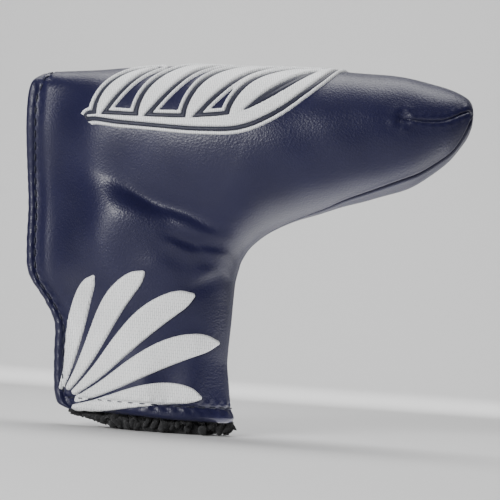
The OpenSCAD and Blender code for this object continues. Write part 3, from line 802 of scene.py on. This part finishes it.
def stripStitches(name, side):
    # one stitch after another round the tape's selvedge
    halfWide, halfLong = strip["wide"] / 2 - strip["stitchInset"], strip["long"] / 2 - strip["stitchInset"]
    corners = np.array([(-halfWide, -halfLong), (halfWide, -halfLong), (halfWide, halfLong),
                        (-halfWide, halfLong)])
    middle, ahead = [], []
    for a, b in zip(corners, np.roll(corners, -1, 0)):
        count = max(2, round(float(np.linalg.norm(b - a)) / strip["stitchPitch"]))
        for k in range(count):
            spot = a + (b - a) * (k + 0.5) / count
            middle.append(stripMiddle + [spot[0], side * (strip["face"] + strip["high"] - strip["tape"]),
                                         spot[1]])
            ahead.append((b[0] - a[0], 0, b[1] - a[1]))
    up = np.tile([0, -side, 0], (len(middle), 1)).astype(float)
    return layStitches(name, np.array(middle), np.array(ahead, float), up, np.array(strip["stitch"]), 0.02)


print("hook and loop strips")
hookStrip, loopStrip = closureStrip("hookStrip", -1, True), closureStrip("loopStrip", 1, False)
hookStripStitches = stripStitches("hookStripStitches", -1)
loopStripStitches = stripStitches("loopStripStitches", 1)


# Embroidery. A design is drawn flat in millimetres as strokes, and its bands are cut from the
# distance to the strokes, laid on the leather and raised.
embroidery = {
    "pitch": 0.34, "high": 0.85, "rounded": 0.75, "ground": 1.6, "outline": 1.25, "groundHigh": 0.35,
    "edgeGap": 0.35, "hemGap": 3.9,
    "leaves": [(-20.5, 31, 30, 67, 2.3), (-6.5, 33.8, 41, 63, 2.9), (9, 35, 46, 60, 3.1),
               (23, 34, 43, 55, 3)],
    "leafBend": 26,
    "stem": [(-24, 29.5), (-12, 33), (3, 34.8), (15, 35), (25, 33.5), (34, 28.8), (42, 22), (49.5, 13.5),
             (54.5, 4), (57.5, -4)],
    "stemHalf": [0.4, 1.0, 1.4, 1.8, 2.2, 2.4, 2.3, 1.9, 1.2, 0.4],
    "bladeBase": (-31, 5), "bladeAngles": [2, 19.5, 36, 52.5, 69], "bladeLengths": [50, 59, 60, 54, 45],
    "bladeStart": 0.15, "bladeHalf": 0.122, "bladeBend": 14,
}


def strokeField(points, line, halves, count=90):
    # distance from points to a stroke that swells and thins: below 0 is inside it
    fine = throughPoints(np.column_stack([line, halves]), count)
    return (np.linalg.norm(points[:, None, :] - fine[None, :, :2], axis=2) - fine[None, :, 2]).min(1)


def crownField(points):
    # leaves on a long stem. Each leaf is its foot, length, slant and half width.
    field = strokeField(points, embroidery["stem"], embroidery["stemHalf"], 160)
    for x, s, length, slant, half in embroidery["leaves"]:
        q = np.linspace(0.02, 1, 14)
        bend = np.radians(slant + embroidery["leafBend"] * (0.5 - q))
        line = np.stack([np.cos(bend), -np.sin(bend)], 1) * (q * length)[:, None] + (x, s)
        halves = half * np.abs(np.sin(math.pi * q ** 0.8)) ** 0.85 + 0.15
        field = np.minimum(field, strokeField(points, line, halves))
    return field


def neckField(points):
    # blades that fan out from one foot
    field = np.full(len(points), 1e3)
    for angle, length in zip(embroidery["bladeAngles"], embroidery["bladeLengths"]):
        q = np.linspace(embroidery["bladeStart"], 1, 14)
        bend = np.radians(angle + embroidery["bladeBend"] * (np.sin(0.72 * math.pi * q) - 0.4))
        line = np.stack([np.cos(bend), np.sin(bend)], 1) * (q * length)[:, None] + embroidery["bladeBase"]
        halves = (embroidery["bladeHalf"] * length * q * np.sqrt(np.clip(1.03 - q ** 5, 0, 1))
                  * (1 - 0.25 * q ** 3))
        field = np.minimum(field, strokeField(points, line, halves))
    return field


def surfaceTable(low, high, turnLow, turnHigh, wrapped, rows=170, cols=150):
    # where a grid of stations and turns lies on the design: across by x, and up by z, or by the
    # distance over the crown where it is wrapped
    t, phi = np.linspace(low, high, rows), np.linspace(turnLow, turnHigh, cols)
    p = skin(t[:, None], phi[None, :], 0)
    if wrapped:
        step = np.linalg.norm(np.diff(p, axis=1), axis=2)
        run = np.concatenate([np.zeros((rows, 1)), np.cumsum(step, 1)], 1)
        zero = np.array([np.interp(0, phi, row) for row in run])
        second = run - zero[:, None]
    else:
        second = p[..., 2]
    return t, phi, np.stack([p[..., 0], second], -1)


def locate(table, targets):
    # the station and turn at which the table holds each target
    t, phi, value = table
    rows, cols = value.shape[:2]
    coarse = value[::5, ::5]
    near = np.empty(len(targets), int)
    for k in range(0, len(targets), 4000):
        part = targets[k:k + 4000]
        near[k:k + 4000] = ((part[:, None] - coarse.reshape(-1, 2)[None]) ** 2).sum(2).argmin(1)
    u = np.stack([near // coarse.shape[1], near % coarse.shape[1]], 1) * 5.0

    def read(at):
        a = np.clip(at[:, 0], 0, rows - 1.001)
        b = np.clip(at[:, 1], 0, cols - 1.001)
        i, j = a.astype(int), b.astype(int)
        a, b = (a - i)[:, None], (b - j)[:, None]
        return (value[i, j] * (1 - a) * (1 - b) + value[i + 1, j] * a * (1 - b)
                + value[i, j + 1] * (1 - a) * b + value[i + 1, j + 1] * a * b)

    for _ in range(14):
        miss = read(u) - targets
        da, db = read(u + (0.25, 0)) - read(u - (0.25, 0)), read(u + (0, 0.25)) - read(u - (0, 0.25))
        det = da[:, 0] * db[:, 1] - da[:, 1] * db[:, 0]
        det = np.where(np.abs(det) < 1e-7, 1e-7, det)
        stepA = -(miss[:, 0] * db[:, 1] - miss[:, 1] * db[:, 0]) / det * 0.5
        stepB = -(da[:, 0] * miss[:, 1] - da[:, 1] * miss[:, 0]) / det * 0.5
        u = u + np.clip(np.stack([stepA, stepB], 1), -4, 4)
        u = np.clip(u, 0, (rows - 1, cols - 1))
    error = np.linalg.norm(read(u) - targets, axis=1)
    return np.interp(u[:, 0], np.arange(rows), t), np.interp(u[:, 1], np.arange(cols), phi), error


def openEdges(cells):
    # the edges that one cell alone has, each in that cell's direction
    edges = {}
    for cell in cells:
        for pair in zip(cell, np.roll(cell, -1)):
            if (pair[1], pair[0]) in edges:
                del edges[(pair[1], pair[0])]
            else:
                edges[pair] = True
    return list(edges)


def embroideredPiece(name, field, table, box, low, high, height, trimmed=False):
    # one band of a design, between two distances from its strokes, as a raised closed piece
    pitch = embroidery["pitch"]
    xs, ys = np.arange(box[0], box[1], pitch), np.arange(box[2], box[3], pitch)
    points = np.stack(np.meshgrid(xs, ys, indexing="ij"), -1).reshape(-1, 2)
    f = field(points)
    ix, iy = np.meshgrid(np.arange(len(xs) - 1), np.arange(len(ys) - 1), indexing="ij")
    a = (ix * len(ys) + iy).ravel()
    cells = np.stack([a, a + len(ys), a + len(ys) + 1, a + 1], 1)
    middle = f[cells].mean(1)
    cells = cells[(middle > low) & (middle < high)]
    # the points on the border are moved onto the design's outline
    slope = np.stack(np.gradient(f.reshape(len(xs), len(ys)), pitch), -1).reshape(-1, 2)
    size = np.maximum((slope ** 2).sum(1), 0.2)
    rim = np.unique(np.array(openEdges(cells), int))
    level = np.where(np.abs(f[rim] - high) < np.abs(f[rim] - low), high, low)
    move = -((f[rim] - level) / size[rim])[:, None] * slope[rim]
    reach = np.linalg.norm(move, axis=1)
    move *= np.minimum(1, 0.9 * pitch / np.maximum(reach, 1e-9))[:, None]
    points[rim] += move
    f = field(points)
    used = np.unique(cells)
    t, turn, error = locate(table, points[used])
    found = error < 0.2
    if trimmed:
        # it stops short of the closure edge and the hem
        found &= points[used, 0] > edgeX(points[used, 1]) + embroidery["edgeGap"]
        found &= points[used, 1] > embroidery["hemGap"]
    good = np.zeros(len(points), bool)
    good[used[found]] = True
    cells = cells[good[cells].all(1)]
    kept = np.unique(cells)
    pick = np.searchsorted(used, kept)
    place, n = leatherAt(t[pick], turn[pick], "front")
    inner = np.minimum(f[kept] - low, high - f[kept]) if low > -50 else high - f[kept]
    share = np.clip(inner / embroidery["rounded"], 0, 1)
    # the rows of topstitch press it flat
    row = np.minimum(nearLine(place, edgePath, 3)[0], nearLine(place, hemPath, 3)[0])
    pressed = 1 - 0.85 * np.exp(-(row / 0.75) ** 2)
    lift = 0.06 + height * pressed * np.sqrt(np.maximum(0, 1 - (1 - share) ** 2))
    top, bottom = place + n * lift[:, None], place - n * 0.3
    index = np.full(len(points), -1)
    index[kept] = np.arange(len(kept))
    quads, count = index[cells], len(kept)
    faces = [tuple(q) for q in quads] + [tuple(q[::-1] + count) for q in quads]
    faces += [(b, a, a + count, b + count) for a, b in openEdges(quads)]
    normal = np.cross(top[quads[0][1]] - top[quads[0][0]], top[quads[0][3]] - top[quads[0][0]])
    if normal @ n[quads[0][0]] < 0:
        faces = [face[::-1] for face in faces]
    uvs = np.vstack([points[kept], points[kept]]) * 0.01
    return meshObject(name, np.vstack([top, bottom]), faces, uvs)


print("embroidery")
crownTable, crownBox = surfaceTable(1.5, 11.0, -60, 120, True), (-32, 76, -10, 44)
neckTable, neckBox = surfaceTable(13, 22.95, 2, 176, False), (-36, 34, 2, 64)
groundEdge, outlineEdge = embroidery["ground"], embroidery["ground"] + embroidery["outline"]
onCrown, raised, filled = (crownField, crownTable, crownBox), embroidery["high"], -99
crownFill = embroideredPiece("crownFill", *onCrown, filled, 0, raised)
crownGround = embroideredPiece("crownGround", *onCrown, 0, groundEdge, embroidery["groundHigh"])
crownOutline = embroideredPiece("crownOutline", *onCrown, groundEdge, outlineEdge, raised)
neckEmblem = embroideredPiece("neckEmblem", neckField, neckTable, neckBox, filled, 0, raised, True)


# Materials
def paint(colour):
    # an sRGB hex colour as linear light
    parts = [int(colour[k:k + 2], 16) / 255 for k in (1, 3, 5)]
    return (*[c / 12.92 if c <= 0.04045 else ((c + 0.055) / 1.055) ** 2.4 for c in parts], 1.0)


def addNode(tree, kind, settings=None, links=None):
    node = tree.nodes.new(kind)
    for name, value in (settings or {}).items():
        if isinstance(name, int) or name in node.inputs:
            node.inputs[name].default_value = value
        else:
            setattr(node, name, value)
    for name, source in (links or {}).items():
        tree.links.new(source, node.inputs[name])
    return node


def newMaterial(name):
    material = bpy.data.materials.new(name)
    material.use_nodes = True
    tree = material.node_tree
    tree.nodes.clear()
    return material, tree


def finished(material, tree, settings, links=None):
    shader = addNode(tree, "ShaderNodeBsdfPrincipled", settings, links)
    addNode(tree, "ShaderNodeOutputMaterial", links={"Surface": shader.outputs[0]})
    return material


def onePattern(name, kind, pattern, output, colours, relief, settings):
    # a finish whose colour and relief both follow one pattern over the piece
    material, tree = newMaterial(name)
    place = addNode(tree, "ShaderNodeTexCoord").outputs["Object"]
    height = addNode(tree, kind, pattern, {"Vector": place}).outputs[output]
    colour = addNode(tree, "ShaderNodeMix", {"data_type": "RGBA", 6: paint(colours[0]), 7: paint(colours[1])},
                     {0: height})
    bump = addNode(tree, "ShaderNodeBump", {"Strength": relief[0], "Distance": relief[1] * mm},
                   {"Height": height})
    return finished(material, tree, settings, {"Base Color": colour.outputs[2], "Normal": bump.outputs[0]})


leatherFinish = {"navy": "#1c1c3c", "deep": "#15152f", "grain": 0.68, "pore": 0.3, "roughness": 0.38}


def coatedLeather():
    # polyurethane-coated leather, embossed with a fine pebble: soft gloss that breaks into sparkle
    material, tree = newMaterial("coatedNavyLeather")
    place = addNode(tree, "ShaderNodeTexCoord").outputs["Object"]
    tone = addNode(tree, "ShaderNodeTexNoise", {"Scale": 1 / (18 * mm), "Detail": 3.0}, {"Vector": place})
    colour = addNode(tree, "ShaderNodeMix", {"data_type": "RGBA", 6: paint(leatherFinish["navy"]),
                                             7: paint(leatherFinish["deep"])}, {0: tone.outputs[0]})
    pebble = addNode(tree, "ShaderNodeTexVoronoi",
                     {"feature": "SMOOTH_F1", "Smoothness": 0.35, "Scale": 1 / (leatherFinish["grain"] * mm)},
                     {"Vector": place})
    pores = addNode(tree, "ShaderNodeTexNoise", {"Scale": 1 / (leatherFinish["pore"] * mm), "Detail": 2.0},
                    {"Vector": place})
    grain = addNode(tree, "ShaderNodeMath", {"operation": "MULTIPLY_ADD", 1: 0.5},
                    {0: pores.outputs[0], 2: pebble.outputs["Distance"]})
    rough = addNode(tree, "ShaderNodeMapRange", {"From Min": 0.3, "From Max": 0.7,
                                                 "To Min": leatherFinish["roughness"] - 0.05,
                                                 "To Max": leatherFinish["roughness"] + 0.07},
                    {"Value": pores.outputs[0]})
    bump = addNode(tree, "ShaderNodeBump", {"Strength": 1.0, "Distance": 0.06 * mm},
                   {"Height": grain.outputs[0]})
    return finished(material, tree, {"Specular IOR Level": 0.4}, {
        "Base Color": colour.outputs[2], "Roughness": rough.outputs[0], "Normal": bump.outputs[0]})


def pileFleece():
    # black knitted pile: dull, with a faint grey bloom on the fibre tips
    return onePattern(
        "blackPileFleece", "ShaderNodeTexNoise", {"Scale": 1 / (0.7 * mm), "Detail": 5.0, "Roughness": 0.7},
        0, ("#0c0c0d", "#2e2e2f"), (1.0, 0.6),
        {"Roughness": 0.95, "Specular IOR Level": 0.15, "Sheen Weight": 0.5, "Sheen Roughness": 0.6,
         "Sheen Tint": paint("#8a8a8c")})


def openCellFoam():
    # grey polyurethane foam: matt, with open cells
    return onePattern("openCellFoam", "ShaderNodeTexVoronoi", {"Scale": 1 / (0.9 * mm)}, "Distance",
                      ("#6f6f6c", "#a2a29e"), (0.6, 0.3), {"Roughness": 0.9, "Specular IOR Level": 0.2})


def satinThread(name, light, dark):
    # rayon embroidery thread in dense rows: a soft gloss across the rows, dark pinholes at the stitch ends
    material, tree = newMaterial(name)
    design = addNode(tree, "ShaderNodeTexCoord").outputs["UV"]
    turned = addNode(tree, "ShaderNodeMapping", {"Rotation": (0, 0, math.radians(90))}, {"Vector": design})
    rows = addNode(tree, "ShaderNodeTexBrick", {
        "offset": 0.5, "Scale": 100.0, "Mortar Size": 0.07, "Mortar Smooth": 0.5, "Brick Width": 2.2,
        "Row Height": 0.62, "Color1": (1, 1, 1, 1), "Color2": (0.86, 0.86, 0.86, 1), "Mortar": (0, 0, 0, 1)},
        {"Vector": turned.outputs[0]})
    shade = addNode(tree, "ShaderNodeTexNoise", {"Scale": 220.0, "Detail": 3.0}, {"Vector": design})
    mixed = addNode(tree, "ShaderNodeMix", {"data_type": "RGBA", "blend_type": "MULTIPLY", 0: 0.22,
                                            7: (1, 1, 1, 1)}, {6: rows.outputs[0], 7: shade.outputs[0]})
    colour = addNode(tree, "ShaderNodeMix", {"data_type": "RGBA", 6: paint(dark), 7: paint(light)},
                     {0: mixed.outputs[2]})
    bump = addNode(tree, "ShaderNodeBump", {"Strength": 0.6, "Distance": 0.12 * mm},
                   {"Height": rows.outputs[0]})
    return finished(material, tree, {"Roughness": 0.5, "Specular IOR Level": 0.4, "Sheen Weight": 0.15,
                                     "Sheen Roughness": 0.4},
                    {"Base Color": colour.outputs[2], "Normal": bump.outputs[0]})


def bondedThread():
    # bonded polyester sewing thread, dark navy, with the twist of its plies
    return onePattern("navySewingThread", "ShaderNodeTexNoise", {"Scale": 1 / (0.35 * mm), "Detail": 2.0}, 0,
                      ("#12131f", "#25273b"), (0.5, 0.06), {"Roughness": 0.55, "Specular IOR Level": 0.35})


def wovenTape(name, dark, light):
    # woven nylon tape: dull, with a fine rib
    return onePattern(name, "ShaderNodeTexWave", {"wave_type": "BANDS", "bands_direction": "Z",
                                                  "Scale": 1 / (2.2 * mm), "Distortion": 0.6}, "Fac",
                      (dark, light), (0.5, 0.05), {"Roughness": 0.6, "Specular IOR Level": 0.35})


print("materials and movement")
hookTape = wovenTape("blackHookTape", "#141416", "#2a2a2d")
loopTape = wovenTape("blackLoopTape", "#1a1a1d", "#303034")
whiteSatin = satinThread("whiteSatinThread", "#f8f9f9", "#adafb2")
navySatin = satinThread("navySatinThread", "#24263a", "#15161f")
sewingThread = bondedThread()
leatherMaterial, fleeceMaterial, foamMaterial = coatedLeather(), pileFleece(), openCellFoam()

# The front and the rest of the boot hang from its body; the flap's pieces and the loop strip are baked in
# place
for piece, material, name, *nodes in (
        (frontLeather, leatherMaterial, "leather", "boot_leather"),
        (backLeather, leatherMaterial, "leather", "boot_leather", "flap_leather"),
        (frontFoam, foamMaterial, "foam", "boot_foam"),
        (backFoam, foamMaterial, "foam", "boot_foam", "flap_foam"),
        (frontLining, fleeceMaterial, "fleece", "boot_lining"),
        (backLining, fleeceMaterial, "fleece", "boot_lining", "flap_lining"),
        (frontRimPile, fleeceMaterial, "fleece", "boot_lining"),
        (backRimPile, fleeceMaterial, "fleece", "boot_lining", "flap_lining"),
        (crownFill, whiteSatin, "white_embroidery", "crown_fill"),
        (crownGround, navySatin, "navy_embroidery", "crown_ground"),
        (crownOutline, whiteSatin, "white_embroidery", "crown_outline"),
        (neckEmblem, whiteSatin, "white_embroidery", "neck_emblem"),
        (frontEdgeStitches, sewingThread, "navy_thread", "edge_topstitch"),
        (backEdgeStitches, sewingThread, "navy_thread", "edge_topstitch", "flap_edge_topstitch"),
        (frontHemStitches, sewingThread, "navy_thread", "hem_topstitch"),
        (backHemStitches, sewingThread, "navy_thread", "hem_topstitch", "flap_hem_topstitch"),
        (seamStitches, sewingThread, "navy_thread", "seam_thread"),
        (frontDartStitches, sewingThread, "navy_thread", "front_dart_thread"),
        (backDartStitches, sewingThread, "navy_thread", "back_dart_thread"),
        (hookStrip, hookTape, "hook_tape", "hook_strip"),
        (hookStripStitches, sewingThread, "navy_thread", "hook_strip_stitching"),
        (loopStrip, loopTape, "loop_tape", "loop_strip"),
        (loopStripStitches, sewingThread, "navy_thread", "loop_strip_stitching")):
    piece.data.materials.append(material)
    if nodes[-1].startswith(("flap", "loop")):
        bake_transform(piece)
    else:
        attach(piece, "boot")
    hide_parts(*nodes)


# Stage, light and camera
stage = {"floorZ": -1.2 * mm, "size": 3.0, "wallAt": 0.9, "sweep": 0.5, "colour": "#d9d9d9"}


def studioSweep():
    # pale paper that curves up from the floor to a wall
    line = [(-stage["size"], 0.0)]
    for k in range(25):
        a = k / 24 * math.pi / 2
        line.append((stage["wallAt"] + stage["sweep"] * math.sin(a), stage["sweep"] * (1 - math.cos(a))))
    line.append((stage["wallAt"] + stage["sweep"], 3.0))
    points = [(side * stage["size"], y, z + stage["floorZ"]) for y, z in line for side in (-1, 1)]
    faces = [(2 * k, 2 * k + 1, 2 * k + 3, 2 * k + 2) for k in range(len(line) - 1)]
    sweep = meshObject("studioSweep", np.array(points) / mm, faces)
    paper = finished(*newMaterial("paleStudioPaper"),
                     {"Base Color": paint(stage["colour"]), "Roughness": 0.9, "Specular IOR Level": 0.1})
    sweep.data.materials.append(paper)


studioSweep()


def softLight(name, at, target, size, power):
    data = bpy.data.lights.new(name, "AREA")
    data.shape = "RECTANGLE"
    data.size, data.size_y = size
    data.energy = power
    light = bpy.data.objects.new(name, data)
    light.visible_camera = False
    bpy.context.scene.collection.objects.link(light)
    light.location = at
    light.rotation_mode = "QUATERNION"
    light.rotation_quaternion = (Vector(target) - Vector(at)).to_track_quat("-Z", "Y")


softLight("keyLight", (-0.34, -0.95, 0.42), (0.01, 0, 0.075), (0.32, 0.13), 11)
softLight("sideLight", (-0.66, -0.72, 0.10), (-0.01, 0, 0.06), (0.2, 0.34), 3)
softLight("topLight", (0.10, 0.20, 0.80), (0.03, 0, 0.08), (0.9, 0.45), 8)
softLight("bounceLight", (0.125, 0.03, 0.003), (0.125, 0.03, 0.1), (0.2, 0.11), 0.2)
softLight("wallLight", (0.0, 0.42, 0.45), (0.0, 1.6, 0.35), (1.4, 0.5), 11)

world = bpy.data.worlds.new("studioAir")
world.use_nodes = True
world.node_tree.nodes["Background"].inputs[0].default_value = paint("#ffffff")
world.node_tree.nodes["Background"].inputs[1].default_value = 0.03
bpy.context.scene.world = world

lens = {"azimuth": 3.5, "elevation": -2.5, "away": 0.68, "roll": 4.0, "span": 0.1675,
        "aim": (0.0312, 0.0, 0.0614)}
azimuth, elevation = math.radians(lens["azimuth"]), math.radians(lens["elevation"])
toCamera = Vector((math.sin(azimuth) * math.cos(elevation), -math.cos(azimuth) * math.cos(elevation),
                   math.sin(elevation)))
cameraData = bpy.data.cameras.new("camera")
cameraData.sensor_width = 36
cameraData.lens = 36 * lens["away"] / lens["span"]
cameraData.clip_start, cameraData.clip_end = 0.05, 20
camera = bpy.data.objects.new("camera", cameraData)
bpy.context.scene.collection.objects.link(camera)
camera.rotation_mode = "QUATERNION"
camera.location = Vector(lens["aim"]) + toCamera * lens["away"]
turnRoll = Matrix.Rotation(math.radians(lens["roll"]), 4, "Z").to_quaternion()
camera.rotation_quaternion = (-toCamera).to_track_quat("-Z", "Y") @ turnRoll
bpy.context.scene.camera = camera
